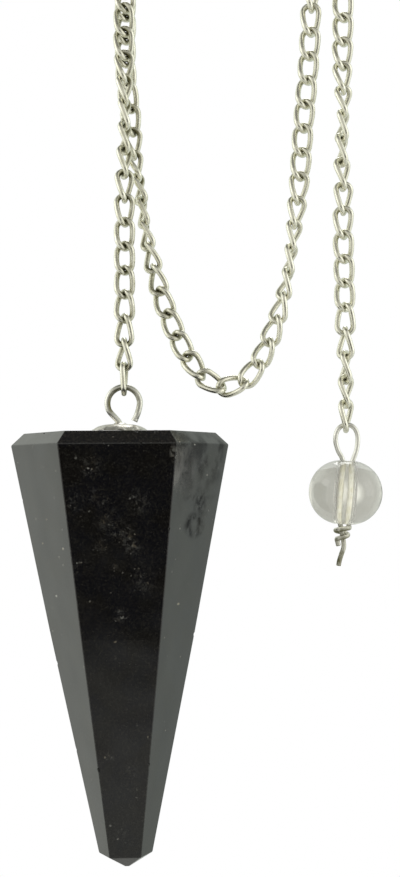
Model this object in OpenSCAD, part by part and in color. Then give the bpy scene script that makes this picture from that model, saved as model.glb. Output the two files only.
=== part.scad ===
// Pendulum pendant: a hexagonal stone point with a domed cap and an eye pin,
// a fine curb chain hung over two supports, and a clear drilled bead on a wire
// at the chain's other end. Millimetres, +Z up, the viewer looks along +Y.
// The origin is the hang point under the left bend of the chain, which goes over
// its support from front to back.

/* [Stone] */
// Height of the stone from its table to its tip
stone_h = 43.23; // [41:0.01:46]
// Corner radius of the flat table
table_r = 9.58; // [8.6:0.01:10]
// Corner radius at the girdle, the widest line
girdle_r = 10.88; // [10.2:0.01:11.1]
// Corner radius at the foot, where the point begins
foot_r = 2.69; // [2:0.01:3.4]
// How far the long sides swell out half way down
side_swell = 0.12; // [0:0.01:0.25]
// Height of the bevel between table and girdle
bevel_h = 1.2; // [0.8:0.01:2]
// Height of the blunt point below the foot
point_h = 1.35; // [1:0.01:2.5]
// Turn of the stone about its own axis, in degrees
stone_turn = 1.9; // [-4:0.1:4]
// Lean of the stone to the right, in degrees
stone_lean = 0.4; // [0:0.1:0.8]

/* [Cap and eye] */
// Diameter of the domed cap
cap_d = 5.6; // [5:0.1:6.4]
// Height of the dome
cap_h = 0.84; // [0.7:0.01:0.86]
// Number of arches under the cap's rim
cap_arches = 8; // [6:1:8]
// Diameter of the eye's wire
eye_wire = 0.6; // [0.5:0.02:0.64]
// Radius of the eye's ring, to the middle of its wire
eye_r = 1.65; // [1.6:0.01:1.7]

/* [Chain] */
// Diameter of the space that the chain's links fill
chain_d = 2.1; // [1.7:0.05:2.15]
// Wire of a link
link_wire = 0.55; // [0.45:0.01:0.56]
// Outside length of a link
link_l = 3.5; // [3.3:0.01:3.5]
// Outside width of a link
link_w = 2.15; // [2:0.01:2.2]

/* [Bead] */
// Width of the bead
bead_w = 7.34; // [6.9:0.01:7.8]
// Height of the bead along its drilled hole
bead_h = 6.4; // [6.2:0.01:6.4]
// Diameter of the drilled hole
bore_d = 1.5; // [1.48:0.01:1.7]
// Lean of the bead to the right, in degrees
bead_lean = 3.7; // [3:0.1:4.4]
// Diameter of the bead's wire
bead_wire_d = 0.48; // [0.4:0.01:0.48]

/* [Hidden] */
$fn = 64;

// Levels. The eye's top wire is the axis on which the stone swings. The pendant,
// the bead and most of the chain hang in one plane, in front of the left support.
front = -1.3;
swing = [-0.1, front, -41.2];
table_z = -45.82;
post_x = -0.5;
bead_c = [22.05, front, -51.75];

// The chain's route in millimetres, from the pendant to the bead, as columns
// [x, y, z]. It goes over the left support from front to back, so the loop's
// strand comes down behind the pendant's strand, and slants forward from there.
pendant_strand = [
    [-0.1, front, -38.5], [-0.05, front, -34], [-0.05, front, -29], [-0.05, front, -24],
    [-0.05, front, -19], [-0.05, front, -14], [-0.05, front, -9.5], [-0.1, front, -6.5],
    [-0.2, front, -4.3], [-0.22, front, -2.4]
];
left_bend = [for (a = [180:-30:0]) [0.2 * cos(a), -front * cos(a), -0.25 - front * sin(a)]];
loop_strand = [
    [0.1, 1.3, -2.2], [0, 1.28, -4.2], [-0.12, 1.24, -6.2], [-0.12, 1.18, -8.1],
    [-0.05, 1.12, -9.5], [0.06, 1.08, -10.6], [0.25, 1.04, -11.9], [0.4, 1, -13.2],
    [0.55, 0.95, -14.6], [0.62, 0.9, -15.8], [0.75, 0.85, -17.1], [0.95, 0.75, -18.6],
    [1.2, 0.6, -19.9], [1.45, 0.45, -21.3], [1.65, 0.3, -23], [1.9, 0, -25],
    [2.4, -0.35, -27.4], [2.95, -0.65, -29.6], [3.6, -0.9, -31.9], [4.27, -1.05, -33.8],
    [5.15, -1.2, -36], [6.2, front, -38], [7.4, front, -39.7], [8.6, front, -40.75],
    [9.8, front, -41.1], [11, front, -40.85], [12.3, front, -39.9], [13.6, front, -38],
    [14.7, front, -35.8], [15.5, front, -33.4], [16.1, front, -30.9], [16.5, front, -28.3],
    [16.85, front, -25.8], [17.15, front, -23.4], [17.4, front, -21], [17.6, front, -18.6],
    [17.75, front, -16], [17.95, front, -13.5], [18.2, front, -10.8], [18.4, front, -8],
    [18.55, front, -5.4], [18.6, front, -3.2]
];
right_bend = [for (a = [180:-30:0]) [20.15 + 1.5 * cos(a), front, -1 + 1.5 * sin(a)]];
bead_strand = [
    [21.75, front, -4], [21.7, front, -9], [21.85, front, -12.5], [21.65, front, -17],
    [21.85, front, -21.5], [21.8, front, -24.5], [21.9, front, -29], [22, front, -33.5],
    [22.05, front, -38], [22.1, front, -42.2]
];
chain_route = concat(pendant_strand, left_bend, loop_strand, right_bend, bead_strand);

// The bead's wire, from the middle of the bead: up the left leg, round the
// loop, down the right leg, then wrapped round the left leg's own tail.
// [x, y, z], with z along the hole.
loop_top = 6.77;
wire_tail = [
    [-0.7, -0.1, -7.25], [-0.62, -0.1, -6.8], [-0.4, -0.1, -6.1], [-0.2, -0.1, -5.5],
    [-0.2, 0, -4.9], [-0.3, 0, -4.4], [-0.36, 0, -4], [-0.45, 0, -3.5]
];
wire_loop = [
    [-0.6, 0, -2.8], [-0.42, 0, 0], [-0.24, 0, 2.6], [-0.34, 0, 3.4],
    [-0.75, 0, 4.2], [-0.99, 0, 5.1], [-0.95, 0, 5.8], [-0.72, 0, 6.35],
    [-0.35, 0, 6.67], [0.1, 0, loop_top], [0.6, 0, 6.67], [0.98, 0, 6.3],
    [1.2, 0, 5.7], [1.22, 0, 5.05], [1.09, 0, 4.2], [0.85, 0, 3.5],
    [0.67, 0, 3], [0.59, 0, 2.6], [0.42, 0, 0], [0.22, 0, -2.8]
];
// Two narrowing turns: the angle falls from the right side through the front.
wrap_x = -0.33;
function wrap_r(a) = 0.72 - 0.16 * min(1, -a / 360);
function wrap_z(a) = -3.52 - 1.5 * (-a / 540);
wire_wrap = [for (a = [-15:-30:-535]) [wrap_x + wrap_r(a) * cos(a), wrap_r(a) * sin(a), wrap_z(a)]];
wire_nub = [[-0.84, -0.2, -5.3], [-0.8, -0.25, -5.6]];
wire_route = concat(wire_tail, wire_loop, wire_wrap, wire_nub);

// A tube of radius r along the points p, with the given number of sides. Each
// ring's frame is the last ring's, turned as little as the bend asks.
function unit(v) = v / norm(v);
function ahead(p, i) = unit(p[min(i + 1, len(p) - 1)] - p[max(i - 1, 0)]);
function square_to(n, t) = unit(n - (n * t) * t);
function sides_of(p) = [
    for (i = 0, n = square_to([0.1, 1, 0.1], ahead(p, 0)); i < len(p);
         i = i + 1, n = square_to(n, ahead(p, min(i, len(p) - 1)))) n
];
module tube(p, r, sides) {
    n = sides_of(p);
    last = len(p) - 1;
    rings = [for (i = [0:last]) let (b = cross(ahead(p, i), n[i]))
        for (k = [0:sides - 1]) p[i] + r * (n[i] * cos(360 * k / sides) + b * sin(360 * k / sides))];
    walls = [for (i = [0:last - 1]) for (k = [0:sides - 1])
        let (a = i * sides + k, b = i * sides + (k + 1) % sides)
        each [[a, a + sides, b + sides], [a, b + sides, b]]];
    polyhedron(rings, concat(
        [[for (k = [0:sides - 1]) k]],
        [[for (k = [sides - 1:-1:0]) last * sides + k]],
        walls), convexity = 10);
}

// A straight piece of wire from a to b.
module rod(a, b, d) {
    v = b - a;
    translate(a) rotate([0, acos(v[2] / norm(v)), atan2(v[1], v[0])])
        cylinder(h = norm(v), d = d);
}

// The stone's cross-section at one level: the corners where six sides meet,
// each side at its own distance from the axis, facing azimuth turn - 90 + 60 i.
function side_az(i) = stone_turn - 90 + 60 * i;
function corners(a, z) = [
    for (i = [0:5]) let (p = side_az(i), q = side_az(i + 1), far = a[(i + 1) % 6])
        [(a[i] * sin(q) - far * sin(p)) / sin(60), (far * cos(p) - a[i] * cos(q)) / sin(60), z]
];

// The stone: six bevels, six long sides and six faces at a blunt point. The
// front and back sides are cut a little deeper, most of all at the foot, and
// the foot stands a little to the right.
module stone() {
    flat = cos(30);
    // columns: level, corner radius, depth of the front and back cuts, shift to the right
    waist = 0.46;
    foot_z = point_h - stone_h;
    levels = [
        [0, table_r, 0.15, 0],
        [-bevel_h, girdle_r, 0.15, 0],
        [foot_z * waist - bevel_h * (1 - waist), foot_r * waist + girdle_r * (1 - waist) + side_swell, 0.23, 0.13],
        [foot_z, foot_r, 0.33, 0.29],
        [-stone_h, 0.33, 0, 0.42]
    ];
    rings = [for (v = levels) corners(
        [for (i = [0:5]) v[1] * flat - (i % 3 == 0 ? v[2] : 0) + v[3] * cos(side_az(i))], v[0])];
    last = 6 * (len(levels) - 1);
    color([0.09, 0.09, 0.09]) difference() {
        translate([post_x, front, table_z]) rotate([0, -stone_lean, 0])
            polyhedron([for (r = rings) each r], concat(
                [[5, 4, 3, 2, 1, 0]],
                [[for (k = [0:5]) last + k]],
                [for (n = [0:6:last - 1]) for (k = [0:5]) let (m = (k + 1) % 6)
                    [n + k, n + m, n + 6 + m, n + 6 + k]]), convexity = 4);
        // drilled hole for the eye's post
        translate([post_x, front, table_z - 6.5]) cylinder(h = 8, r = eye_wire / 2 + 0.1);
    }
}

// The cap: a thin dome with a collar round its hole and arches under its rim.
module cap() {
    wall = 0.3;
    r = cap_d / 2;
    ball = (r * r + cap_h * cap_h) / (2 * cap_h);
    color([0.78, 0.77, 0.72])
        translate([post_x, front, table_z + 0.04]) difference() {
            union() {
                intersection() {
                    translate([0, 0, cap_h - ball]) difference() {
                        sphere(r = ball);
                        sphere(r = ball - wall);
                    }
                    cylinder(h = 2, r = r + 1);
                }
                translate([0, 0, cap_h - 0.2]) cylinder(h = 0.34, r = 0.68);
            }
            translate([0, 0, -1]) cylinder(h = 4, r = eye_wire / 2 + 0.08);
            for (i = [0:cap_arches - 1])
                rotate([0, 0, -85 + 360 / cap_arches * i])
                    translate([r - 0.95, 0, -0.3]) rotate([0, 90, 0]) cylinder(h = 2, r = 0.58);
        }
}

// The eye: a ring of wire left open on its right, whose left leg slants in and
// goes down through the cap as the post. The wire is a touch thicker where it
// is bent.
module eye() {
    c = swing - [0, 0, eye_r];
    left = 212;
    right = -16;
    bend_d = eye_wire + 0.02;
    left_end = c + eye_r * [cos(left), 0, sin(left)];
    right_end = c + eye_r * [cos(right), 0, sin(right)];
    neck = [post_x, front, -44.7];
    tail = [1.0, front, -44.6];
    color([0.72, 0.71, 0.66]) {
        translate(c) rotate([90, 0, 0]) rotate([0, 0, right])
            rotate_extrude(angle = left - right) translate([eye_r, 0]) circle(d = eye_wire);
        rod(left_end, neck, eye_wire);
        translate(left_end) sphere(d = bend_d);
        translate(neck) sphere(d = bend_d);
        translate([post_x, front, table_z - 5.6]) cylinder(h = neck[2] - table_z + 5.6, d = eye_wire);
        rod(right_end, tail, eye_wire);
        translate(right_end) sphere(d = bend_d);
    }
}

// The chain: one tube round the links, along their route.
module chain() color([0.74, 0.73, 0.66]) tube(chain_route, chain_d / 2, 8);

// One whole link, standing in the plane that looks to the side, with the
// middle of its lowest wire at p.
module link(p) {
    r = (link_w - link_wire) / 2;
    half = (link_l - link_wire) / 2 - r;
    translate(p + [0, 0, r + half]) rotate([0, 0, 90]) rotate([90, 0, 0]) {
        for (s = [0, 1]) rotate([0, 0, 180 * s]) {
            translate([0, half]) rotate_extrude(angle = 180) translate([r, 0]) circle(d = link_wire);
            translate([r, half, 0]) rotate([90, 0, 0]) cylinder(h = 2 * half, d = link_wire);
        }
    }
}

// The last link, which carries the eye.
module end_link_pendant() color([0.7, 0.69, 0.62])
    link(swing - [0, 0, (eye_wire + link_wire) / 2 + 0.08]);

// The last link at the other end, in the bead's loop.
module end_link_bead() color([0.7, 0.69, 0.62])
    link(bead_c + [0.05, 0, loop_top - (bead_wire_d + link_wire) / 2 - 0.06]);

// The bead: a flattened ball with a hole right through and opened mouths.
module bead() {
    out = bead_w / 2 - bead_h / 2;
    color([0.8, 0.81, 0.8, 0.6])
        translate(bead_c) rotate([0, bead_lean, 0]) difference() {
            rotate_extrude() intersection() {
                translate([out, 0]) circle(d = bead_h);
                translate([0, -5]) square([10, 10]);
            }
            translate([0, 0, -5]) cylinder(h = 10, d = bore_d);
            for (s = [0, 1]) mirror([0, 0, s]) translate([0, 0, bead_h / 2 - 0.3])
                cylinder(h = 0.6, d1 = bore_d, d2 = bore_d + 0.8);
        }
}

// The bead's wire: loop, two legs, wrap and tail in one piece.
module bead_wire() color([0.74, 0.73, 0.64])
    translate(bead_c) tube(wire_route, bead_wire_d / 2, 8);

stone();
cap();
eye();
chain();
end_link_pendant();
end_link_bead();
bead();
bead_wire();
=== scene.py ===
"""Looks of a hanging pendulum pendant: a black hexagonal stone point, a domed cap
and eye, a fine curb chain over two supports, and a clear bead on a wrapped wire.
Metres, +Z up; the viewer looks along +Y. Lengths below are in millimetres (MM)."""
import math

import bmesh
import bpy
import numpy as np
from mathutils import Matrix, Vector


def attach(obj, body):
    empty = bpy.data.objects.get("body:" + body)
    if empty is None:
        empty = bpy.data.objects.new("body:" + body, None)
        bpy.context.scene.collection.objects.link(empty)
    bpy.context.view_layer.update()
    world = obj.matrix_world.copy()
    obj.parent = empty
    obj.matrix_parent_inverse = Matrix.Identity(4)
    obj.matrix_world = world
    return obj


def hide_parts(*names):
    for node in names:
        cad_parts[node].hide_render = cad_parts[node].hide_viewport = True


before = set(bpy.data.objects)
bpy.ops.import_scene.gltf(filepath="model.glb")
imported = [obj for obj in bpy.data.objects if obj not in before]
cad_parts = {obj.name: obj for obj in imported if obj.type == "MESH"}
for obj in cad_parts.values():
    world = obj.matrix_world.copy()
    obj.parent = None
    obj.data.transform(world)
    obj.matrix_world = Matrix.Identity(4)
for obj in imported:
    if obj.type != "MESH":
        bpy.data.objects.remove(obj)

MM = 0.001
FRONT = -1.3        # the plane of the pendant, the bead and most of the chain
# How bright the room is in each direction
ROOM, ROOM_LOW, CEILING, DARK = 0.54, 0.62, 0.15, 0.03
SCREEN_LEFT, SCREEN_RIGHT = 0.98, 0.78
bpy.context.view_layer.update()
scene = bpy.context.scene

# ---------------------------------------------------------------- camera
cam_data = bpy.data.cameras.new("camera")
cam_data.sensor_width = 36.0
cam_data.lens = 51.31
cam_data.shift_y = 0.0416
cam_data.clip_start = 0.005
cam_data.clip_end = 20.0
camera = bpy.data.objects.new("camera", cam_data)
camera.location = (0.0075, -0.1263, -0.0500)
camera.rotation_euler = (math.radians(90), 0, 0)
scene.collection.objects.link(camera)
scene.camera = camera


# ---------------------------------------------------------------- mesh helpers
def rows(*groups):
    return np.array([p for g in groups for p in g], float)


def smooth_line(points, step):
    """A centripetal Catmull-Rom line through the points, sampled about every step."""
    p = np.vstack([2 * points[0] - points[1], points, 2 * points[-1] - points[-2]])
    out = []
    for i in range(1, len(p) - 2):
        q = p[i - 1:i + 3]
        t = np.concatenate([[0], np.cumsum(np.linalg.norm(np.diff(q, axis=0), axis=1) ** 0.5)])
        n = max(2, int(round(np.linalg.norm(q[2] - q[1]) / step)))
        s = np.linspace(t[1], t[2], n, endpoint=False)[:, None]
        a1 = (t[1] - s) / (t[1] - t[0]) * q[0] + (s - t[0]) / (t[1] - t[0]) * q[1]
        a2 = (t[2] - s) / (t[2] - t[1]) * q[1] + (s - t[1]) / (t[2] - t[1]) * q[2]
        a3 = (t[3] - s) / (t[3] - t[2]) * q[2] + (s - t[2]) / (t[3] - t[2]) * q[3]
        b1 = (t[2] - s) / (t[2] - t[0]) * a1 + (s - t[0]) / (t[2] - t[0]) * a2
        b2 = (t[3] - s) / (t[3] - t[1]) * a2 + (s - t[1]) / (t[3] - t[1]) * a3
        out.extend((t[2] - s) / (t[2] - t[1]) * b1 + (s - t[1]) / (t[2] - t[1]) * b2)
    out.append(points[-1])
    return np.array(out)


def unit(v):
    return v / np.linalg.norm(v, axis=-1, keepdims=True)


def tangents(p, closed=False):
    if closed:
        return unit(np.roll(p, -1, 0) - np.roll(p, 1, 0))
    return unit(np.gradient(p, axis=0))


def sweep(p, radius, sides, round_ends=(0.0, 0.0)):
    """Vertices and faces of a wire along p. radius is one number or one per point.
    round_ends says how much of the radius each end's edge is rounded by."""
    t = tangents(p)
    r = np.full(len(p), float(radius)) if np.isscalar(radius) else np.array(radius, float)
    normal = np.array([0.1, 1.0, 0.1])
    rings, turn = [], np.linspace(0, 2 * np.pi, sides, endpoint=False)
    frames = []
    for d in t:
        normal = normal - d * (normal @ d)
        normal = normal / np.linalg.norm(normal)
        frames.append((normal, np.cross(d, normal)))

    def ring(centre, i, size):
        a, b = frames[i]
        return centre + size * (np.outer(np.cos(turn), a) + np.outer(np.sin(turn), b))

    def end(i, sign, share):
        rim = share * r[i]
        if rim <= 0:
            return []
        return [ring(p[i] + sign * t[i] * rim * math.sin(a), i, r[i] - rim * (1 - math.cos(a)))
                for a in (math.pi / 6, math.pi / 3, math.pi / 2)]

    rings = (end(0, -1, round_ends[0])[::-1] + [ring(p[i], i, r[i]) for i in range(len(p))]
             + end(len(p) - 1, 1, round_ends[1]))
    verts = np.vstack(rings)
    faces = [(j * sides + k, j * sides + (k + 1) % sides, (j + 1) * sides + (k + 1) % sides, (j + 1) * sides + k)
             for j in range(len(rings) - 1) for k in range(sides)]
    faces.append(tuple(range(sides))[::-1])
    faces.append(tuple((len(rings) - 1) * sides + k for k in range(sides)))
    return verts, faces


def closed_sweep(p, normals, radius, sides):
    """Vertices and faces of a closed ring of wire; normals gives each point's frame."""
    t = tangents(p, True)
    n = unit(normals - t * np.sum(normals * t, 1, keepdims=True))
    b = np.cross(t, n)
    turn = np.linspace(0, 2 * np.pi, sides, endpoint=False)
    verts = (p[:, None] + radius * (n[:, None] * np.cos(turn)[None, :, None]
                                    + b[:, None] * np.sin(turn)[None, :, None])).reshape(-1, 3)
    count = len(p)
    faces = [(j * sides + k, j * sides + (k + 1) % sides,
              (j + 1) % count * sides + (k + 1) % sides, (j + 1) % count * sides + k)
             for j in range(count) for k in range(sides)]
    return verts, faces


def revolve(profile, segments):
    """Vertices and faces of a closed profile of (radius, height) turned round Z."""
    a = np.linspace(0, 2 * np.pi, segments, endpoint=False)
    prof = np.array(profile, float)
    n = len(prof)
    verts = np.stack([prof[None, :, 0] * np.cos(a)[:, None], prof[None, :, 0] * np.sin(a)[:, None],
                      np.broadcast_to(prof[None, :, 1], (segments, n))], -1).reshape(-1, 3)
    faces = [(i * n + j, (i + 1) % segments * n + j, (i + 1) % segments * n + (j + 1) % n, i * n + (j + 1) % n)
             for i in range(segments) for j in range(n)]
    return verts, faces


def make(name, verts, faces, materials, smooth=True, slots=None):
    """A mesh object from millimetre vertices, its faces turned to look outwards."""
    mesh = bpy.data.meshes.new(name)
    mesh.from_pydata([tuple(v * MM) for v in np.asarray(verts, float)], [], [list(f) for f in faces])
    mesh.validate()
    for m in materials:
        mesh.materials.append(m)
    if slots is not None:
        mesh.polygons.foreach_set("material_index", np.array(slots, np.int32))
    bm = bmesh.new()
    bm.from_mesh(mesh)
    bmesh.ops.recalc_face_normals(bm, faces=bm.faces)
    if all(e.is_manifold for e in bm.edges) and bm.calc_volume(signed=True) < 0:
        bmesh.ops.reverse_faces(bm, faces=bm.faces)
    bm.to_mesh(mesh)
    bm.free()
    mesh.polygons.foreach_set("use_smooth", [smooth] * len(mesh.polygons))
    mesh.update()
    obj = bpy.data.objects.new(name, mesh)
    scene.collection.objects.link(obj)
    return obj


def store(obj, name, values):
    """Keeps one number for each vertex of the object's mesh."""
    obj.data.attributes.new(name, "FLOAT", "POINT").data.foreach_set("value", np.array(values, np.float32))


def bake_modifiers(obj):
    """Replaces the object's mesh by the one its modifiers give."""
    dg = bpy.context.evaluated_depsgraph_get()
    dg.update()
    mesh = bpy.data.meshes.new_from_object(obj.evaluated_get(dg), preserve_all_data_layers=True, depsgraph=dg)
    obj.modifiers.clear()
    old, obj.data = obj.data, mesh
    bpy.data.meshes.remove(old)
    mesh.name = obj.name


def tidy(obj):
    """Cuts the object's faces into triangles and drops any two that lie on each other."""
    bm = bmesh.new()
    bm.from_mesh(obj.data)
    bmesh.ops.triangulate(bm, faces=bm.faces)
    bm.verts.index_update()
    same = {}
    for f in bm.faces:
        same.setdefault(frozenset(v.index for v in f.verts), []).append(f)
    bmesh.ops.delete(bm, geom=[f for group in same.values() if len(group) > 1 for f in group], context="FACES")
    bmesh.ops.delete(bm, geom=[v for v in bm.verts if not v.link_faces], context="VERTS")
    bm.to_mesh(obj.data)
    bm.free()
    obj.data.update()


# ---------------------------------------------------------------- material helpers
class Graph:
    """A material's node tree, with short ways to add nodes."""

    def __init__(self, name):
        self.material = bpy.data.materials.new(name)
        self.material.use_nodes = True
        self.tree = self.material.node_tree
        self.tree.nodes.clear()
        self.out = self.tree.nodes.new("ShaderNodeOutputMaterial")

    def add(self, kind, inputs=None, **props):
        node = self.tree.nodes.new("ShaderNode" + kind)
        for key, value in props.items():
            setattr(node, key, value)
        for key, value in (inputs or {}).items():
            if isinstance(value, bpy.types.NodeSocket):
                self.tree.links.new(value, node.inputs[key])
            else:
                node.inputs[key].default_value = value
        return node

    def math(self, op, a, b=None, c=None, clamp=False):
        values = {i: v for i, v in enumerate((a, b, c)) if v is not None}
        return self.add("Math", values, operation=op, use_clamp=clamp).outputs[0]

    def vec(self, op, a, b=None, scale=None):
        values = {0: a}
        if b is not None:
            values[1] = b
        if scale is not None:
            values["Scale"] = scale
        node = self.add("VectorMath", values, operation=op)
        return node.outputs["Value"] if op in ("LENGTH", "DISTANCE", "DOT_PRODUCT") else node.outputs[0]

    def place(self):
        """Position in the object, in millimetres."""
        return self.vec("SCALE", self.add("TexCoord").outputs["Object"], scale=1000.0)

    def noise(self, at, scale, detail=3.0, rough=0.5, distortion=0.0):
        return self.add("TexNoise", {"Vector": at, "Scale": scale, "Detail": detail, "Roughness": rough,
                                     "Distortion": distortion}).outputs["Fac"]

    def span(self, value, low, high, to_low=0.0, to_high=1.0, soft=True):
        return self.add("MapRange", {"Value": value, "From Min": low, "From Max": high, "To Min": to_low,
                                     "To Max": to_high},
                        interpolation_type="SMOOTHSTEP" if soft else "LINEAR").outputs["Result"]

    def mix(self, fac, a, b, blend="MIX"):
        node = self.tree.nodes.new("ShaderNodeMix")
        node.data_type = "RGBA"
        node.blend_type = blend
        node.clamp_factor = True
        colours = [s for s in node.inputs if s.type == "RGBA"]
        for socket, value in ((node.inputs[0], fac), (colours[0], a), (colours[1], b)):
            if isinstance(value, bpy.types.NodeSocket):
                self.tree.links.new(value, socket)
            else:
                socket.default_value = value
        return [s for s in node.outputs if s.type == "RGBA"][0]

    def bump(self, height, strength, distance, normal=None):
        inputs = {"Height": height, "Strength": strength, "Distance": distance}
        if normal is not None:
            inputs["Normal"] = normal
        return self.add("Bump", inputs).outputs["Normal"]

    def finish(self, shader):
        self.tree.links.new(shader, self.out.inputs["Surface"])
        return self.material


def silver(name, light, dark, rough, tarnish, darker_left=None, sheltered=None):
    """Plated wire: light where it is rubbed, darker and duller in small patches, and with painted shade,
    dark olive and rougher, wherever the mesh stores a shade value: where links meet, on the eye's inner side
    and under the bead. darker_left gives the two places along X between which the patches and the painted
    shade fade, so the wire is darker towards the left; sheltered the heights between which the wire runs
    inside the bead, matt, dull and paler."""
    g = Graph(name)
    at = g.place()
    patch = g.span(g.noise(at, 0.9, 4.0, 0.6), 0.42, 0.68)
    # darker towards the left: the patches fade along X between the two places given
    if darker_left:
        fade = g.span(g.add("SeparateXYZ", {"Vector": at}).outputs["X"], *darker_left, 1.0, 0.35)
        patch = g.math("MULTIPLY", patch, fade)
    fine = g.noise(at, 7.0, 5.0, 0.65)
    colour = g.mix(g.math("MULTIPLY", patch, tarnish), light, dark)
    colour = g.mix(g.span(fine, 0.35, 0.75, 0.0, 0.22), colour, dark)
    # painted shade: the stored shade value, broken up by noise, turns the wire dark olive and rougher where links meet,
    # on the eye's inner side and under the bead
    painted_shade = g.add("Attribute", attribute_name="painted_shade", attribute_type="GEOMETRY").outputs["Fac"]
    painted_shade = g.math("MULTIPLY", painted_shade, g.span(g.noise(at, 1.7, 3.0), 0.3, 0.62, 0.55, 1.15), clamp=True)
    # the painted shade, too, is stronger towards the left
    if darker_left:
        painted_shade = g.math("MULTIPLY", painted_shade, g.span(g.add("SeparateXYZ", {"Vector": at}).outputs["X"], *darker_left, 1.3, 0.5), clamp=True)
    # the colour of the painted shade
    colour = g.mix(painted_shade, colour, (0.210, 0.200, 0.110, 1))
    roughness = g.math("ADD", g.span(fine, 0.3, 0.7, rough - 0.05, rough + 0.07),
                       g.math("ADD", g.math("MULTIPLY", patch, 0.06), g.math("MULTIPLY", painted_shade, 0.28)))
    if sheltered:
        height = g.add("SeparateXYZ", {"Vector": at}).outputs["Z"]
        inside = g.math("MULTIPLY", g.span(height, sheltered[0], sheltered[0] + 0.4),
                        g.span(height, sheltered[1], sheltered[1] - 0.4))
        roughness = g.math("ADD", roughness, g.math("MULTIPLY", inside, 0.20))
        pale_wash = g.mix(g.span(g.noise(at, 2.0, 4.0), 0.44, 0.58), (1.0, 0.995, 0.96, 1), (0.86, 0.84, 0.73, 1))
        colour = g.mix(g.math("MULTIPLY", inside, 0.85), colour, pale_wash)
    normal = g.bump(g.noise(at, 3.2, 3.0, 0.5), 0.35, 0.00003)
    normal = g.bump(fine, 0.25, 0.000006, normal)
    shader = g.add("BsdfPrincipled", {"Base Color": colour, "Metallic": 1.0, "Roughness": roughness,
                                      "Normal": normal})
    return g.finish(shader.outputs[0])


chain_silver = silver("chain_silver", (0.96, 0.945, 0.83, 1), (0.60, 0.58, 0.42, 1), 0.24, 0.5, (0.0, 14.0))
wire_silver = silver("wire_silver", (0.87, 0.86, 0.79, 1), (0.54, 0.53, 0.44, 1), 0.26, 0.45)
loop_silver = silver("loop_silver", (0.95, 0.94, 0.88, 1), (0.70, 0.69, 0.60, 1), 0.34, 0.4,
                     sheltered=(-54.9, -48.6))
cap_silver = silver("cap_silver", (0.80, 0.775, 0.72, 1), (0.52, 0.49, 0.43, 1), 0.33, 0.5)


# ---------------------------------------------------------------- chain
WIRE = 0.55         # a link's wire
LINK_W = 2.15       # a link's outside width
STEPS = 73          # links between the two end links
SLACK = range(8, 23)                            # links that hang a little closer together
PENDANT_END = np.array([-0.1, FRONT, -41.86])   # lowest wire of the link that carries the eye
BEAD_END = np.array([22.1, FRONT, -45.555])     # lowest wire of the link in the bead's loop


def arc_rows(spot):
    return [spot(math.cos(math.radians(a)), math.sin(math.radians(a))) for a in range(180, -1, -30)]


# The route goes over the left support from front to back and over the right one sideways.
F = FRONT
route = smooth_line(rows(
    [[-0.1, F, -42.5], [-0.1, F, -38.5], [-0.05, F, -34], [-0.05, F, -29], [-0.05, F, -24],
     [-0.05, F, -19], [-0.05, F, -14], [-0.05, F, -9.5], [-0.1, F, -6.5],
     [-0.2, F, -4.3], [-0.22, F, -2.4]],
    arc_rows(lambda c, s: [0.2 * c, -F * c, -0.25 - F * s]),
    [[0.1, 1.3, -2.2], [0, 1.28, -4.2], [-0.12, 1.24, -6.2], [-0.12, 1.18, -8.1],
     [-0.05, 1.12, -9.5], [0.06, 1.08, -10.6], [0.25, 1.04, -11.9], [0.4, 1, -13.2],
     [0.55, 0.95, -14.6], [0.62, 0.9, -15.8], [0.75, 0.85, -17.1], [0.95, 0.75, -18.6],
     [1.2, 0.6, -19.9], [1.45, 0.45, -21.3], [1.65, 0.3, -23], [1.9, 0, -25],
     [2.4, -0.35, -27.4], [2.95, -0.65, -29.6], [3.6, -0.9, -31.9], [4.27, -1.05, -33.8],
     [5.15, -1.2, -36], [6.1, F, -38.1], [7.2, F, -39.85], [8.45, F, -41.05],
     [9.9, F, -41.5], [11.2, F, -41.3], [12.6, F, -40.2], [13.85, F, -38.1],
     [14.8, F, -35.8], [15.5, F, -33.4], [16.1, F, -30.9], [16.5, F, -28.3],
     [16.85, F, -25.8], [17.15, F, -23.4], [17.4, F, -21], [17.6, F, -18.6],
     [17.75, F, -16], [17.95, F, -13.5], [18.2, F, -10.8], [18.4, F, -8],
     [18.55, F, -5.4], [18.6, F, -3.2]],
    arc_rows(lambda c, s: [20.15 + 1.5 * c, F, -1 + 1.5 * s]),
    [[21.75, F, -4], [21.7, F, -9], [21.85, F, -12.5], [21.65, F, -17],
     [21.85, F, -21.5], [21.8, F, -24.5], [21.9, F, -29], [22, F, -33.5],
     [22.05, F, -38], [22.1, F, -42.2], [22.1, F, -46]]), 0.03)
along = np.concatenate([[0], np.cumsum(np.linalg.norm(np.diff(route, axis=0), axis=1))])


def at_length(s):
    return np.array([np.interp(s, along, route[:, k]) for k in range(3)])


def walk(pitch):
    """Places of the joints between links, each a straight pitch from the last."""
    s = float(np.interp(PENDANT_END[2] + pitch + WIRE / 2, [route[0, 2], -39.0], [0, -39.0 - route[0, 2]]))
    places = [at_length(s)]
    for i in range(STEPS):
        low, high = s, s + 2 * pitch
        step = pitch * (0.98 if i in SLACK else 1.0)
        for _ in range(40):
            mid = (low + high) / 2
            if np.linalg.norm(at_length(mid) - places[-1]) < step:
                low = mid
            else:
                high = mid
        s = (low + high) / 2
        places.append(at_length(s))
    return np.array(places), s


def pitch_that_fits():
    low, high = 2.30, 2.55
    for _ in range(40):
        pitch = (low + high) / 2
        last = BEAD_END[2] + pitch + WIRE / 2
        target = along[-1] - (last - route[-1, 2])
        if walk(pitch)[1] < target:
            low = pitch
        else:
            high = pitch
    return (low + high) / 2


PITCH = pitch_that_fits()
joints = walk(PITCH)[0]

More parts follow.
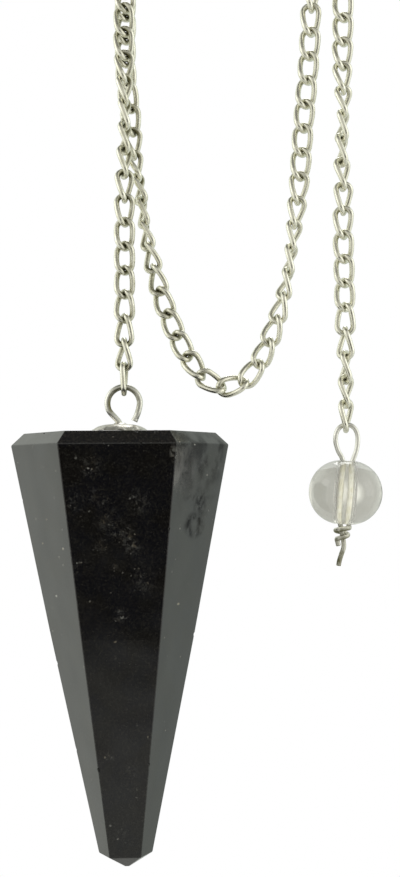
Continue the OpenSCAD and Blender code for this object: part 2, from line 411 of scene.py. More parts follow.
# How far each link is turned about the chain's line, in degrees, from the pendant to
# the bead: 0 shows its open face to the viewer, 90 its edge. Then how far its two ends
# are turned against each other, and how far some links sit off the route, so that
# every link lies clear of its neighbours.
turns = [-56, -36, -13, -3, 3, 10, 29, 50, 74, 89, 90, 70, 43, 18, 5,
         -3, -8, 5, 2, -180, -179, -182, -185, -202, -226, -248, -274, -276, -286, -305,
         -320, -344, -350, -360, -381, -378, -372, -369, -379, -390, -415, -439, -455, -472, -495,
         -510, -533, -538, -536, -547, -538, -535, -522, -490, -451, -385, -357, -367, -378, -401,
         -423, -448, -443, -420, -399, -381, -364, -359, -351, -329, -297, -268, -246]
twists = [80, 73, 94, 90, 94, 91, 86, 87, 85, 90, 88, 98, 107, 92, 87,
         95, 89, 94, 88, 87, 88, 88, 92, 100, 102, 100, 103, 78, 94, 103,
         104, 99, 95, 106, 115, 88, 104, 103, 115, 109, 93, 108, 95, 100, 96,
         98, 101, 93, 94, 98, 92, 84, 84, 65, 66, 62, 91, 96, 98, 98,
         111, 96, 84, 86, 82, 89, 92, 95, 95, 76, 75, 79, 88]
shifts = {4: (0, 0, -0.02), 5: (0, 0, -0.02), 6: (0, 0, -0.03), 7: (0, 0, -0.04),
         8: (0, 0, -0.03), 14: (0.09, 0, 0), 15: (0.25, 0, 0), 16: (0.24, 0, -0.03),
         17: (-0.16, -0.03, -0.04), 18: (-0.22, -0.04, 0), 19: (-0.07, -0.01, 0), 22: (0.01, 0.01, -0.03),
         23: (0.02, 0.01, -0.04), 24: (0.01, 0, -0.02), 25: (0, -0.04, -0.01), 26: (0, -0.03, 0),
         30: (-0.02, -0.01, 0), 31: (-0.04, 0.01, 0), 32: (-0.04, 0, 0.01), 33: (0, -0.04, 0.05),
         34: (0.07, -0.04, 0.15), 35: (0, -0.12, 0.16), 36: (-0.06, -0.03, 0.09), 37: (-0.06, 0.03, 0.02),
         38: (-0.06, 0.04, 0.01), 39: (-0.05, 0.03, 0.01), 40: (-0.02, 0.02, 0), 42: (0, -0.02, 0),
         43: (0, -0.02, 0), 48: (0.01, -0.02, 0), 49: (0, -0.02, 0), 52: (-0.02, -0.01, -0.02),
         53: (0.02, -0.08, -0.04), 54: (0.02, -0.11, -0.32), 55: (0.06, 0.19, -0.01), 56: (0.06, 0.01, 0),
         57: (0.05, 0, 0), 58: (0.04, 0, 0), 61: (0.01, 0.03, 0), 63: (-0.03, 0, 0)}


painted_shades = []        # how much painted shade each vertex of each link gets


def link(centre, axis, turn, twist, points=56, sides=12):
    """One link: a long ring of wire whose ends are twisted against each other."""
    r = (LINK_W - WIRE) / 2
    half = (PITCH + WIRE) / 2 - r
    total = 4 * half + 2 * math.pi * r
    s = np.linspace(0, total, points, endpoint=False)
    u, v = np.empty(points), np.empty(points)
    for i, d in enumerate(s):
        if d < math.pi * r:
            u[i], v[i] = r * math.cos(d / r), half + r * math.sin(d / r)
        elif d < math.pi * r + 2 * half:
            u[i], v[i] = -r, half - (d - math.pi * r)
        elif d < 2 * math.pi * r + 2 * half:
            a = math.pi + (d - math.pi * r - 2 * half) / r
            u[i], v[i] = r * math.cos(a), -half + r * math.sin(a)
        else:
            u[i], v[i] = r, -half + (d - 2 * math.pi * r - 2 * half)
    if abs(axis[1]) > 0.4:      # over the left support, flat across it
        side = unit(np.array([1.0, 0.0, 0.0]) - axis[0] * axis)
    else:
        side = unit(np.cross([0.0, 1.0, 0.0], axis))
    back = np.cross(axis, side)
    a = np.radians(turn - twist / 2 * v / (half + r))
    lateral = np.cos(a)[:, None] * side + np.sin(a)[:, None] * back
    facing = -np.sin(a)[:, None] * side + np.cos(a)[:, None] * back
    verts, faces = closed_sweep(centre + u[:, None] * lateral + v[:, None] * axis, facing, WIRE / 2, sides)
    # painted shade: each vertex gets a shade value, most on the inner side of the wire and towards the link's ends,
    # where links meet
    line = centre + u[:, None] * lateral + v[:, None] * axis
    middle = centre + v[:, None] * axis * np.clip(half / (half + r), 0, 1)
    inward = unit(middle - line + 1e-6)
    off = (verts.reshape(points, sides, 3) - line[:, None]) / (WIRE / 2)
    inner = np.clip(np.sum(off * inward[:, None], 2), -1, 1)
    end = np.clip((np.abs(v) - 0.55 * half) / (half + r - 0.55 * half), 0, 1)[:, None]
    painted_shade_depth = 0.42 * np.clip(inner, 0, 1) + end ** 1.5 * (0.42 + 0.5 * inner)
    painted_shades.append(np.clip(painted_shade_depth, 0, 1).ravel())
    return verts, faces


def joined(parts):
    verts, faces, base = [], [], 0
    for v, f in parts:
        verts.append(v)
        faces.extend(tuple(i + base for i in face) for face in f)
        base += len(v)
    return np.vstack(verts), faces


rng = np.random.default_rng(11)
parts = []
for i in range(STEPS):
    a, b = joints[i], joints[i + 1]
    parts.append(link((a + b) / 2 + np.array(shifts.get(i, (0, 0, 0))), unit(b - a), turns[i], twists[i]))
chain_links = make("chain_links", *joined(parts), [chain_silver])
store(chain_links, "painted_shade", np.concatenate(painted_shades))
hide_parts("chain")
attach(chain_links, "strand")

UP = np.array([0.0, 0.0, 1.0])
reach = (PITCH + WIRE) / 2
for name, low, node, turn, twist in (("link_on_eye", PENDANT_END, "end_link_pendant", 86, 14),
                                     ("link_on_bead_loop", BEAD_END, "end_link_bead", 60, 60)):
    end_link = make(name, *link(low + reach * UP, UP, turn, twist), [chain_silver])
    store(end_link, "painted_shade", painted_shades[-1])
    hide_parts(node)
    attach(end_link, "strand")

# ---------------------------------------------------------------- stone
TABLE_Z, POST_X = -45.82, -0.5
STONE_H, BEVEL_H, POINT_H = 43.23, 1.2, 1.35
TURN, LEAN = 1.9, 0.4


def side_az(i):
    return math.radians(TURN - 90 + 60 * i)


def corners(a, z):
    out = []
    for i in range(6):
        p, q, far = side_az(i), side_az(i + 1), a[(i + 1) % 6]
        out.append([(a[i] * math.sin(q) - far * math.sin(p)) / math.sin(math.radians(60)),
                    (far * math.cos(p) - a[i] * math.cos(q)) / math.sin(math.radians(60)), z])
    return out


def level(z, radius, deeper, shift):
    return corners([radius * math.cos(math.radians(30)) - (deeper if i % 3 == 0 else 0)
                    + shift * math.cos(side_az(i)) for i in range(6)], z)


lean = math.radians(LEAN)
stone_verts = rows(level(0, 9.58, 0.15, 0), level(-BEVEL_H, 10.88, 0.15, 0), level(-19.91, 7.233, 0.23, 0.13),
                   level(POINT_H - STONE_H, 2.69, 0.33, 0.29), level(-STONE_H, 0.33, 0, 0.42))
stone_verts = np.stack([stone_verts[:, 0] * math.cos(lean) - stone_verts[:, 2] * math.sin(lean),
                        stone_verts[:, 1],
                        stone_verts[:, 0] * math.sin(lean) + stone_verts[:, 2] * math.cos(lean)], 1)
stone_verts += [POST_X, FRONT, TABLE_Z]
stone_faces = [tuple(range(5, -1, -1)), tuple(range(24, 30))]
stone_faces += [(n + k, n + (k + 1) % 6, n + 6 + (k + 1) % 6, n + 6 + k) for n in (0, 6, 12, 18) for k in range(6)]


def black_stone(name, edge):
    """Black stone, polished: nearly black with faint grain and small pale flecks in
    clusters. edge makes the same stone where its ridges are rubbed and chipped."""
    g = Graph(name)
    at = g.place()
    facing = g.add("SeparateXYZ", {"Vector": g.add("NewGeometry").outputs["Normal"]}).outputs["Y"]
    broad = g.span(g.math("ABSOLUTE", facing), 0.52, 0.66, 0.4, 1.0)     # the two broad sides show more grain
    painted_top_light = g.span(g.add("SeparateXYZ", {"Vector": g.add("NewGeometry").outputs["Normal"]}).outputs["Z"], 0.4, 0.6)
    cloud = g.noise(at, 0.30, 3.0, 0.5)
    colour = g.mix(g.span(cloud, 0.40, 0.60), (0.0048, 0.0040, 0.0036, 1), (0.0036, 0.0036, 0.0058, 1))
    grain = g.noise(at, 4.2, 4.0, 0.75)
    grain = g.math("MULTIPLY", g.span(grain, 0.44, 0.70), broad)
    colour = g.mix(grain, colour, (0.0185, 0.0172, 0.0150, 1))
    # painted light: the grain is drawn lighter on facets that face upwards
    colour = g.mix(g.math("MULTIPLY", grain, painted_top_light), colour, (0.028, 0.024, 0.021, 1))
    dust = g.noise(g.vec("ADD", at, (9.0, 4.0, 2.0)), 6.5, 2.0, 0.6)
    dust = g.math("MULTIPLY", g.span(dust, 0.62, 0.74), broad)
    colour = g.mix(dust, colour, (0.034, 0.0315, 0.0265, 1))

    # flecks: small round grains, thick in a few clusters and sparse elsewhere
    clusters = [(-2.7, -49.1, 1.3, 0.7), (-2.3, -52.0, 1.2, 0.6), (-1.5, -52.4, 0.6, 1.0), (1.7, -52.5, 1.3, 0.8),
                (-1.1, -54.3, 1.3, 0.8), (-0.4, -55.1, 1.2, 0.9), (0.6, -55.8, 1.2, 1.0), (1.0, -56.8, 1.1, 1.0),
                (-1.7, -56.6, 0.9, 0.6), (2.2, -60.1, 1.5, 0.7), (-0.5, -58.7, 0.4, 1.1), (0.0, -63.3, 0.75, 1.3),
                (-3.8, -58.5, 0.9, 0.6), (-4.3, -52.8, 1.4, 0.6), (-1.3, -77.3, 0.5, 1.0),
                (0.7, -79.0, 0.9, 0.6), (-0.2, -85.3, 0.7, 0.6)]
    dense = None
    for x, z, size, strength in clusters:
        near = g.vec("DISTANCE", g.vec("MULTIPLY", at, (1.0, 0.0, 1.0)), (x, 0.0, z))
        near = g.span(near, size * 1.3, size * 0.25, 0.0, strength)
        dense = near if dense is None else g.math("MAXIMUM", dense, near)
    dense = g.math("MULTIPLY", dense, broad)
    warp = g.vec("ADD", at, g.vec("SCALE", g.add("TexNoise", {"Vector": at, "Scale": 2.0}).outputs["Color"],
                                  scale=0.35))
    cells = g.add("TexVoronoi", {"Vector": warp, "Scale": 2.6, "Randomness": 1.0})
    chance = g.add("SeparateColor", {"Color": cells.outputs["Color"]}).outputs[0]
    limit = g.math("SUBTRACT", 0.985, g.math("MULTIPLY", dense, 0.22))
    spot = g.span(g.math("DIVIDE", cells.outputs["Distance"], g.span(chance, 0.76, 1.0, 0.16, 0.40)), 1.0, 0.2)
    fleck = g.math("MULTIPLY", spot, g.math("GREATER_THAN", chance, limit))
    strokes = g.noise(g.vec("ADD", at, (5.0, 1.0, 7.0)), 3.4, 3.0, 0.7)
    strokes = g.span(g.math("ADD", strokes, g.math("MULTIPLY", dense, 0.12)), 0.62, 0.80, 0.0, 0.6)
    fleck = g.math("MAXIMUM", g.math("MULTIPLY", fleck, 0.85), g.math("MULTIPLY", strokes, dense))
    fleck = g.math("MULTIPLY", fleck, g.span(g.noise(at, 2.1), 0.36, 0.64, 0.10, 0.85))
    haze = g.math("MULTIPLY", dense, g.span(g.noise(at, 2.4, 3.0, 0.6), 0.44, 0.72, 0.0, 0.12))
    fleck = g.math("MAXIMUM", fleck, haze)
    # single grains on the left and right sides
    for x, z, size in ((-7.9, -56.7, 0.11), (-7.3, -54.3, 0.09), (-5.5, -57.0, 0.16), (-6.5, -61.8, 0.15),
                       (5.4, -62.5, 0.16), (7.0, -47.1, 0.10), (5.6, -46.9, 0.10), (8.2, -50.0, 0.08)):
        near = g.vec("DISTANCE", g.vec("MULTIPLY", at, (1.0, 0.0, 1.0)), (x, 0.0, z))
        fleck = g.math("MAXIMUM", fleck, g.span(near, size, size * 0.4, 0.0, 0.9))
    # painted highlight, partly pale chips: a soft pale zone broken by noise along the ridge between the front and the
    # right side
    pale_wash = g.span(g.vec("DISTANCE", g.vec("MULTIPLY", at, (1.0, 0.0, 0.45)), (5.05, 0.0, -21.56)), 0.50, 0.1)
    pale_wash = g.math("MULTIPLY", pale_wash, g.span(g.noise(at, 2.6, 3.0), 0.42, 0.60, 0.0, 0.30))
    fleck = g.math("MAXIMUM", fleck, pale_wash)
    tone = g.noise(at, 1.3, 2.0)
    fleck_colour = g.mix(g.span(tone, 0.34, 0.56), (0.24, 0.205, 0.15, 1), (0.36, 0.355, 0.33, 1))
    colour = g.mix(fleck, colour, fleck_colour)

    # the upper right side: a pit with a ring round it, dull patches above, a lighter streak
    axes = g.add("SeparateXYZ", {"Vector": at})
    blot = g.noise(at, 0.62, 2.0, 0.5)
    wobble = g.vec("ADD", at, g.vec("SCALE", g.add("TexNoise", {"Vector": at, "Scale": 1.4}).outputs["Color"],
                                    scale=0.32))
    flat = g.vec("MULTIPLY", wobble, (1.0, 0.0, 1.0))
    right = g.math("MULTIPLY", g.span(axes.outputs["X"], 5.1, 5.7), g.span(axes.outputs["Y"], -0.9, -2.2))
    spot = g.vec("DISTANCE", g.vec("MULTIPLY", flat, (1.0, 0.0, 0.72)), (7.08, 0.0, -39.36))
    ring = g.math("MULTIPLY", g.span(g.math("ABSOLUTE", g.math("SUBTRACT", spot, 0.60)), 0.60, 0.0), right)
    ring = g.math("MULTIPLY", ring, g.span(g.noise(at, 1.1, 3.0), 0.36, 0.60, 0.25, 1.0))
    knot = g.vec("DISTANCE", g.vec("MULTIPLY", flat, (1.5, 0.0, 0.6)), (11.53, 0.0, -31.5))
    knot = g.span(knot, 1.6, 0.1)
    bar = g.vec("DISTANCE", g.vec("MULTIPLY", flat, (0.55, 0.0, 2.0)), (4.09, 0.0, -104.1))
    knot = g.math("MULTIPLY", g.math("MAXIMUM", knot, g.span(bar, 1.4, 0.1, 0.0, 0.7)), right)
    knot = g.math("MULTIPLY", knot, g.span(g.noise(at, 1.6, 3.0, 0.6), 0.36, 0.60, 0.30, 1.0))
    patch = g.math("MULTIPLY", g.span(axes.outputs["Z"], -54.5, -49.0), g.span(axes.outputs["Z"], -45.0, -46.8))
    patch = g.math("MULTIPLY", g.math("MULTIPLY", patch, right), g.span(blot, 0.36, 0.62, 0.25, 1.0))
    streak = g.span(g.vec("DISTANCE", g.vec("MULTIPLY", wobble, (1.0, 0.0, 0.14)), (7.2, 0.0, -7.02)), 0.42, 0.05)
    patch = g.math("MULTIPLY", patch, g.math("SUBTRACT", 1.0, g.math("MULTIPLY", streak, 0.8)))
    dull = g.math("MAXIMUM", g.math("MULTIPLY", patch, 0.74), g.math("MULTIPLY", knot, 0.92))
    dull = g.math("MAXIMUM", dull, g.math("MULTIPLY", ring, 0.90))
    veins = g.span(g.noise(g.vec("MULTIPLY", at, (1.0, 1.0, 0.5)), 0.5, 5.0, 0.6), 0.3, 0.7, -0.035, 0.035)
    shine = g.math("MULTIPLY", g.math("SUBTRACT", g.math("ADD", 1.0, veins), dull), 0.5)

    smear = g.noise(g.vec("MULTIPLY", at, (1.0, 1.0, 0.4)), 0.8, 4.0, 0.6)
    rough = g.span(smear, 0.35, 0.75, 0.10, 0.17)
    rough = g.math("ADD", rough, g.math("MULTIPLY", dull, 0.10))
    rough = g.math("ADD", rough, g.math("MULTIPLY", fleck, 0.12))
    scratch = g.noise(g.vec("MULTIPLY", g.vec("ADD", at, (3.0, 0.0, 1.0)), (3.0, 3.0, 0.25)), 3.0, 2.0, 0.5,
                      0.6)
    height = g.math("MULTIPLY", g.span(scratch, 0.64, 0.70), -0.25)
    height = g.math("ADD", height, g.math("MULTIPLY", g.noise(at, 9.0, 3.0), 0.10))
    height = g.math("SUBTRACT", height, g.math("MULTIPLY", fleck, 0.3))
    normal = g.bump(height, 0.30, 0.00001)
    normal = g.bump(g.noise(at, 0.16, 1.0), 0.35, 0.0003, normal)
    if edge:
        chip = g.span(g.noise(at, 3.4, 5.0, 0.7), 0.50, 0.66)
        colour = g.mix(chip, colour, (0.036, 0.037, 0.034, 1))
        rough = g.math("ADD", rough, g.math("MULTIPLY", chip, 0.2))
    shader = g.add("BsdfPrincipled", {"Base Color": colour, "Roughness": rough, "IOR": 1.55,
                                      "Specular IOR Level": shine, "Normal": normal})
    return g.finish(shader.outputs[0])


stone_look = black_stone("black_stone", False)
edge_look = black_stone("black_stone_edge", True)
stone = make("stone_point", stone_verts, stone_faces, [stone_look, edge_look], smooth=False)
weights = stone.data.attributes.new("bevel_weight_edge", "FLOAT", "EDGE")
for e in stone.data.edges:
    i, j = sorted(v // 6 for v in e.vertices)
    girdle, waist = i == j == 1, i == j == 2
    weights.data[e.index].value = 0.0 if waist else 0.65 if girdle else 0.5
bevel = stone.modifiers.new("ridges", "BEVEL")
bevel.width = 0.15 * MM
bevel.segments = 3
bevel.limit_method = "WEIGHT"
bevel.use_clamp_overlap = True
bevel.material = 1
bake_modifiers(stone)

# chips on the ridges and the drilled hole, cut out of the solid
cutters = []
for _ in range(22):
    ring_of = int(rng.integers(0, 3))
    k = int(rng.integers(0, 6))
    if ring_of == 0:      # on the girdle
        a, b = stone_verts[6 + k], stone_verts[6 + (k + 1) % 6]
    elif ring_of == 1:    # round the table
        a, b = stone_verts[k], stone_verts[(k + 1) % 6]
    else:                 # down a long edge
        a, b = stone_verts[6 + k], stone_verts[18 + k]
    place = a + (b - a) * rng.uniform(0.06, 0.94)
    axis_point = np.array([POST_X, FRONT, place[2] - 1.0])
    away = unit(place - axis_point)
    size = rng.uniform(0.14, 0.30)
    depth = size * rng.uniform(0.12, 0.30)
    ball = bmesh.new()
    bmesh.ops.create_icosphere(ball, subdivisions=2, radius=1.0)
    points = np.array([v.co for v in ball.verts])
    points *= 1 + 0.16 * rng.standard_normal((len(points), 1))
    points = points * size * np.array([1.0, 1.0, rng.uniform(0.7, 1.5)])
    centre = place + away * (size - depth)
    cutters.append((points + centre, [tuple(v.index for v in f.verts) for f in ball.faces]))
    ball.free()
hole_r = 0.4
turn = np.linspace(0, 2 * np.pi, 48, endpoint=False)
hole = [np.stack([POST_X + hole_r * np.cos(turn), FRONT + hole_r * np.sin(turn), np.full(48, TABLE_Z + h)], 1)
        for h in (-6.5, 1.5)]
cutters.append((np.vstack(hole), [tuple(range(48))[::-1], tuple(range(48, 96))]
                + [(k, (k + 1) % 48, 48 + (k + 1) % 48, 48 + k) for k in range(48)]))
chips = make("chips", *joined(cutters), [edge_look], smooth=False)
cut = stone.modifiers.new("cut", "BOOLEAN")
cut.operation = "DIFFERENCE"
cut.object = chips
cut.solver = "EXACT"
cut.use_self = True
cut.material_mode = "TRANSFER"
bake_modifiers(stone)
tidy(stone)
bpy.data.objects.remove(chips)
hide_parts("stone")
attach(stone, "drop")

# ---------------------------------------------------------------- cap
CAP_R, CAP_H, ARCHES = 2.8, 0.84, 8


def cap_height(r):
    return CAP_H * (1 - (r / CAP_R) ** 4.5)


def cap_mesh(around=192, across=26):
    """A thin pressed dome: a collar round the hole, a rolled rim, and arches under it."""
    top, under = [], []
    hole, wall = 0.37, 0.16
    for j in range(across + 1):
        r = hole + (CAP_R - hole) * (j / across)
        top_row, under_row = [], []
        for i in range(around):
            a = 2 * math.pi * i / around
            phase = (math.degrees(a) + 85) % (360 / ARCHES)
            phase = min(phase, 360 / ARCHES - phase) / (180 / ARCHES)       # 0 in an arch, 1 between
            h = cap_height(r)
            collar = math.exp(-((r - 0.52) / 0.13) ** 2)
            edge = max(0.0, (r - 1.75) / (CAP_R - 1.75))
            rib = (1 - min(1.0, phase / 0.55) ** 2) if phase < 0.55 else 0.0
            lift = 0.30 * rib * edge ** 1.5
            rim = 0.07 * math.exp(-((r - CAP_R + 0.08) / 0.08) ** 2)
            top_row.append([r * math.cos(a), r * math.sin(a), h + 0.15 * collar + 0.55 * lift + rim * 0.6])
            thick = wall * (1 - 0.35 * edge)
            under_row.append([r * math.cos(a), r * math.sin(a),
                              max(0.03, h - thick) + lift * 0.9 if edge > 0 else max(0.03, h - thick)])
        top.append(top_row)
        under.append(under_row)
    verts = np.array(top + under[::-1], float).reshape(-1, 3)
    count = 2 * (across + 1)
    faces = [(j * around + i, j * around + (i + 1) % around,
              (j + 1) % count * around + (i + 1) % around, (j + 1) % count * around + i)
             for j in range(count) for i in range(around)]
    return verts + [POST_X, FRONT, TABLE_Z + 0.04], faces


cap = make("dome_cap", *cap_mesh(), [cap_silver])
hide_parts("cap")
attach(cap, "drop")

# ---------------------------------------------------------------- eye
EYE_R, EYE_WIRE = 1.65, 0.6
eye_c = np.array([-0.1, 0, -41.2 - EYE_R])


def on_eye(a):
    across = math.cos(math.radians(a))
    return eye_c + EYE_R * np.array([across * (0.96 if across > 0 else 1.0), 0, math.sin(math.radians(a))])


eye_line = smooth_line(rows(
    [[POST_X, 0, TABLE_Z - 5.6], [POST_X, 0, TABLE_Z - 2.5], [POST_X, 0, TABLE_Z], [POST_X, 0, -45.05]],
    [[-0.62, 0, -44.72], [-0.86, 0, -44.4]],
    [on_eye(a) for a in range(208, -15, -16)],
    [[1.28, 0, -43.8], [1.1, 0, -44.25], [0.94, 0, -44.58]]), 0.09) + [0, FRONT, 0]
eye_radius = np.full(len(eye_line), EYE_WIRE / 2)
from_tip = np.concatenate([[0], np.cumsum(np.linalg.norm(np.diff(eye_line[::-1], axis=0), axis=1))])[::-1]
eye_radius += 0.035 * np.exp(-(from_tip / 0.16) ** 2)          # the cut end, spread by the cutter
eye_verts, eye_faces = sweep(eye_line, eye_radius, 24, (0.1, 0.12))
eye_wire = make("eye_wire", eye_verts, eye_faces, [wire_silver])
# painted shade on the eye: its upper inner side, where the link passes through, more on the left than the right
from_centre = np.hypot(*(eye_verts - eye_c)[:, [0, 2]].T)
above = np.clip((eye_verts[:, 2] + 44.1) / 0.5, 0, 1)
above = above * np.interp(eye_verts[:, 0], [-0.6, 0.6], [0.9, 0.5])
store(eye_wire, "painted_shade", above * np.clip((EYE_R + 0.08 - from_centre) / 0.22, 0, 1))
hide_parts("eye")
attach(eye_wire, "drop")

# ---------------------------------------------------------------- bead
BEAD_C = np.array([22.05, FRONT, -51.75])
BEAD_LEAN = math.radians(3.7)


def bead_mesh():
    """A flattened ball with a straight drilled hole and slightly opened mouths."""
    radius, out, bore = 3.2, 0.47, 0.75
    mouth_r = 0.93
    mouth_z = math.sqrt(radius ** 2 - (mouth_r - out) ** 2)
    start = math.atan2(mouth_z, mouth_r - out) - 0.012
    rim = [start, start - 0.008, start - 0.025]
    turns = rim + list(np.linspace(start - 0.06, 0.06 - start, 53)) + [-a for a in rim[::-1]]
    arc = [[out + radius * math.cos(a), radius * math.sin(a)] for a in turns]
    wall = [[bore, z] for z in np.linspace(-2.86, 2.86, 25)]
    lip = [[0.905, 3.135], [0.918, 3.158]]
    profile = arc + [[lip[1][0], -lip[1][1]], [lip[0][0], -lip[0][1]], [0.80, -2.975], [0.762, -2.905]] \
        + wall + [[0.762, 2.905], [0.80, 2.975]] + lip
    verts, faces = revolve(profile, 96)
    inner = [1 if all(np.hypot(*verts[i, :2]) < 0.93 for i in f) else 0 for f in faces]
    c, s = math.cos(BEAD_LEAN), math.sin(BEAD_LEAN)
    verts = np.stack([verts[:, 0] * c + verts[:, 2] * s, verts[:, 1], -verts[:, 0] * s + verts[:, 2] * c], 1)
    return verts + BEAD_C, faces, inner


def quartz(name):
    """Clear, slightly smoky quartz with a faint haze."""
    g = Graph(name)
    at = g.place()
    veil = g.span(g.noise(at, 0.55, 4.0, 0.6, 0.8), 0.38, 0.68)
    colour = g.mix(veil, (0.955, 0.955, 0.945, 1), (0.885, 0.88, 0.845, 1))
    fine = g.noise(at, 6.0, 3.0)
    rough = g.math("ADD", g.span(fine, 0.3, 0.7, 0.03, 0.06), g.math("MULTIPLY", veil, 0.05))
    axes = g.add("SeparateXYZ", {"Vector": at}).outputs
    aside = g.math("SUBTRACT", axes[0], g.math("MULTIPLY_ADD", axes[2], 0.0647, 22.05 + 51.75 * 0.0647))
    from_hole = g.math("SQRT", g.math("ADD", g.math("MULTIPLY", aside, aside),
                                      g.math("POWER", g.math("ADD", axes[1], 1.3), 2.0)))
    rough = g.math("ADD", rough, g.span(from_hole, 1.6, 1.05, 0.0, 0.35))
    normal = g.bump(g.noise(at, 0.7, 2.0), 0.25, 0.00008)
    shader = g.add("BsdfPrincipled", {"Base Color": colour, "Roughness": rough, "IOR": 1.544,
                                      "Transmission Weight": 1.0, "Normal": normal})
    return g.finish(shader.outputs[0])


def drilled(name):
    """The frosted wall of the drilled hole, with rings left by the drill."""
    g = Graph(name)
    at = g.place()
    fine = g.noise(at, 5.0, 5.0, 0.7)
    rings = g.add("TexWave", {"Vector": at, "Scale": 2.6, "Distortion": 2.5, "Detail": 2.0},
                  wave_type="BANDS", bands_direction="Z").outputs["Fac"]
    colour = g.mix(g.span(fine, 0.35, 0.7), (1.0, 0.995, 0.98, 1), (0.95, 0.94, 0.90, 1))
    rough = g.span(fine, 0.3, 0.7, 0.10, 0.2)
    normal = g.bump(g.math("ADD", g.math("MULTIPLY", rings, 0.6), fine), 0.5, 0.00001)
    frosted = g.add("BsdfPrincipled", {"Base Color": colour, "Roughness": rough, "IOR": 1.3,
                                       "Transmission Weight": 0.86, "Normal": normal})
    return g.finish(frosted.outputs[0])


bead_verts, bead_faces, bead_slots = bead_mesh()
bead = make("quartz_bead", bead_verts, bead_faces, [quartz("clear_quartz"), drilled("drilled_quartz")],
            slots=bead_slots)
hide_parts("bead")
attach(bead, "strand")

# ---------------------------------------------------------------- bead wire
wrap = [[-0.33 + (0.72 - 0.16 * min(1, -a / 360)) * math.cos(math.radians(a)),
         (0.72 - 0.16 * min(1, -a / 360)) * math.sin(math.radians(a)),
         -3.50 - 1.2 * (-a / 540) ** 1.3] for a in range(-15, -536, -30)]
bead_line = smooth_line(rows(
    [[-0.7, -0.1, -7.25], [-0.62, -0.1, -6.8], [-0.4, -0.1, -6.1], [-0.2, -0.1, -5.5],
     [-0.2, 0, -4.9], [-0.3, 0, -4.4], [-0.36, 0, -4], [-0.45, 0, -3.5]],
    [[-0.6, 0, -2.8], [-0.42, 0, 0], [-0.24, 0, 2.6], [-0.34, 0, 3.4],
     [-0.75, 0, 4.2], [-0.99, 0, 5.1], [-0.95, 0, 5.8], [-0.72, 0, 6.35],
     [-0.35, 0, 6.67], [0.1, 0, 6.77], [0.6, 0, 6.67], [0.98, 0, 6.3],
     [1.2, 0, 5.7], [1.22, 0, 5.05], [1.09, 0, 4.2], [0.85, 0, 3.5],
     [0.67, 0, 3], [0.59, 0, 2.6], [0.42, 0, 0], [0.22, 0, -2.8]],
    wrap,
    [[-0.80, -0.2, -4.98], [-0.74, -0.25, -5.25]]), 0.07) + BEAD_C
wire_verts, wire_faces = sweep(bead_line, 0.24, 16, (0.35, 0.35))
bead_wire = make("bead_wire_loop", wire_verts, wire_faces, [loop_silver])
# painted shade on the wire below the bead: on the wraps' undersides, and all round the tail
below = np.clip((BEAD_C[2] - 2.9 - wire_verts[:, 2]) / 0.5, 0, 1)
tail = np.clip((-57.0 - wire_verts[:, 2]) / 1.8, 0, 1)
near = np.linalg.norm(wire_verts[:, None] - bead_line[None], axis=2).argmin(1)
upper = np.clip((wire_verts - bead_line[near])[:, 2] / 0.24, -1, 1)      # top or underside of the wire
store(bead_wire, "painted_shade", below * np.clip(0.50 + 0.42 * tail - 0.55 * upper * (1 - tail), 0, 1))
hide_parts("bead_wire")
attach(bead_wire, "strand")

# ---------------------------------------------------------------- stage
g = Graph("pale_floor")
at = g.add("TexCoord").outputs["Object"]
tone = g.mix(g.span(g.noise(at, 1.4, 3.0), 0.3, 0.7), (0.90, 0.90, 0.895, 1), (0.93, 0.93, 0.925, 1))
floor_normal = g.bump(g.noise(at, 260.0, 2.0), 0.08, 0.0004)
floor_look = g.finish(g.add("BsdfPrincipled", {"Base Color": tone, "Roughness": 0.85,
                                                "Normal": floor_normal}).outputs[0])
edge = [[620 * math.cos(a), 620 * math.sin(a), -500.0] for a in np.linspace(0, 2 * np.pi, 96, endpoint=False)]
floor = make("floor", np.array(edge), [tuple(range(96))], [floor_look])

# ---------------------------------------------------------------- light
world = bpy.data.worlds.new("studio")
scene.world = world
world.use_nodes = True
tree = world.node_tree
tree.nodes.clear()


def wnode(kind, inputs=None, **props):
    node = tree.nodes.new("ShaderNode" + kind)
    for key, value in props.items():
        setattr(node, key, value)
    for key, value in (inputs or {}).items():
        if isinstance(value, bpy.types.NodeSocket):
            tree.links.new(value, node.inputs[key])
        else:
            node.inputs[key].default_value = value
    return node


def ramp(value, low, high, to_low=0.0, to_high=1.0):
    return wnode("MapRange", {"Value": value, "From Min": low, "From Max": high, "To Min": to_low,
                              "To Max": to_high}, interpolation_type="SMOOTHSTEP").outputs[0]


def wmath(op, a, b=None, c=None):
    return wnode("Math", {i: v for i, v in enumerate((a, b, c)) if v is not None}, operation=op).outputs[0]


def towards_value(fac, old, new):
    """old where fac is 0, new where it is 1."""
    return wmath("MULTIPLY_ADD", fac, wmath("SUBTRACT", new, old), old)


# A studio with a grey room, a bright screen behind on each side, a dim ceiling, and a
# dark place where the viewer stands. It shows white behind the object.
way = wnode("SeparateXYZ", {"Vector": wnode("TexCoord").outputs["Generated"]})
wx, wy, wz = way.outputs
level_of = ramp(wz, -0.25, -0.55, ROOM, ROOM_LOW)
level_of = towards_value(ramp(wz, 0.62, 0.93), level_of, CEILING)
high = wmath("MULTIPLY", wmath("MAXIMUM", wz, 0.0), 0.6)
tall = wmath("MULTIPLY", ramp(wz, -0.66, -0.50), ramp(wz, 0.85, 0.65))
behind = wmath("MULTIPLY", ramp(wy, 0.12, 0.34), tall)
for sign, value in ((-1.0, SCREEN_LEFT), (1.0, SCREEN_RIGHT)):
    beside = ramp(wmath("MULTIPLY_ADD", wx, sign, high), 0.62, 0.72)
    level_of = towards_value(wmath("MULTIPLY", beside, behind), level_of, value)
viewer = wnode("VectorMath", {0: way.inputs[0].links[0].from_socket, 1: (0.066, -0.94, -0.335)},
               operation="DOT_PRODUCT").outputs["Value"]
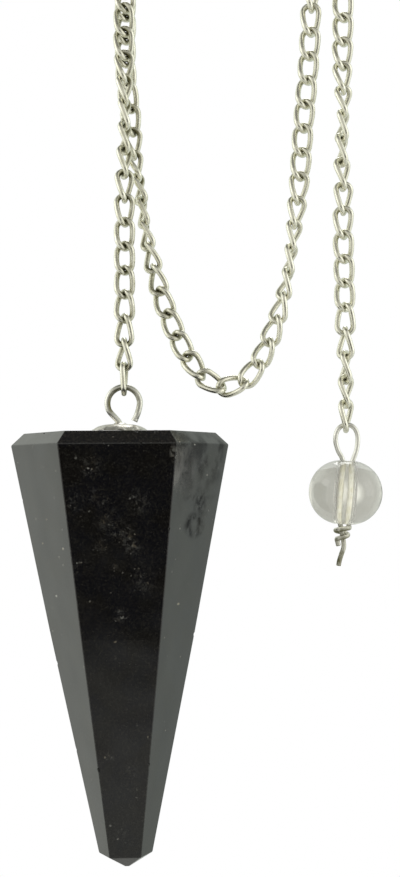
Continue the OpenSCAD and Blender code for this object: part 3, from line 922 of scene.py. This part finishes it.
aside = wmath("MULTIPLY", ramp(wmath("ABSOLUTE", wx), 0.50, 0.75), ramp(wy, 0.22, 0.02))
aside = wmath("MULTIPLY", aside, wmath("MULTIPLY", ramp(wz, -0.75, -0.55), ramp(wz, 0.9, 0.7)))
level_of = towards_value(aside, level_of, 0.92)
dark = wmath("MULTIPLY", ramp(viewer, 0.90, 0.97), ramp(wz, -0.60, -0.41))
level_of = towards_value(dark, level_of, DARK)
tint = wnode("Mix", data_type="RGBA")
tree.links.new(ramp(wx, -0.5, 0.5), tint.inputs[0])
for socket, value in zip([i for i in tint.inputs if i.type == "RGBA"], ((0.965, 1.0, 0.915, 1), (0.93, 1.0, 0.915, 1))):
    socket.default_value = value
sides = [o for o in tint.outputs if o.type == "RGBA"][0]
tinted = wnode("Mix", data_type="RGBA")
tree.links.new(ramp(wy, 0.05, 0.3), tinted.inputs[0])
near_tint, far_tint = [i for i in tinted.inputs if i.type == "RGBA"]
near_tint.default_value = (1.0, 1.0, 0.93, 1)
tree.links.new(sides, far_tint)
room = wnode("Background", {"Color": [o for o in tinted.outputs if o.type == "RGBA"][0], "Strength": level_of})
# what is seen through the clear bead: an even grey, the white backdrop straight behind,
# a bright side on the right, and brighter still from above, below and the front
through_level = towards_value(ramp(wx, 0.88, 0.96), ramp(wx, -0.8, 0.8, 0.445, 0.435), 0.85)
through_level = towards_value(ramp(wy, 0.955, 0.98), through_level, 0.62)
through_level = towards_value(ramp(wy, 0.12, -0.10), through_level, 1.4)
through_level = towards_value(ramp(wmath("ABSOLUTE", wz), 0.75, 0.92), through_level, 1.2)
through_level = towards_value(ramp(wy, 0.975, 0.993), through_level, 0.9)
through = wnode("Background", {"Color": (1.0, 1.0, 0.90, 1), "Strength": through_level})
seen = wnode("Background", {"Color": (1.0, 1.0, 1.0, 1), "Strength": 1.0})
path = wnode("LightPath")
lit = wnode("MixShader", {0: path.outputs["Is Transmission Ray"], 1: room.outputs[0], 2: through.outputs[0]})
both = wnode("MixShader", {0: path.outputs["Is Camera Ray"], 1: lit.outputs[0], 2: seen.outputs[0]})
tree.links.new(both.outputs[0], wnode("OutputWorld").inputs["Surface"])


def softbox(name, place, aim, size, power, colour=(1, 1, 1)):
    data = bpy.data.lights.new(name, "AREA")
    data.shape = "RECTANGLE"
    data.size, data.size_y = size
    data.energy = power
    data.color = colour
    obj = bpy.data.objects.new(name, data)
    obj.location = place
    obj.rotation_euler = (Vector(aim) - Vector(place)).to_track_quat("-Z", "Y").to_euler()
    scene.collection.objects.link(obj)
    return obj


middle = (0.008, 0.0, -0.05)
overhead = softbox("overhead", (0.1, 0.85, 0.95), middle, (0.5, 0.5), 2.4)
overhead.visible_transmission = False
softbox("left", (-1.05, -0.15, 0.35), middle, (0.6, 0.8), 1.2)
softbox("right", (1.0, -0.25, 0.15), middle, (0.6, 0.8), 1.0)

scene.view_settings.view_transform = "Standard"
scene.view_settings.look = "None"
scene.view_settings.exposure = 0.0
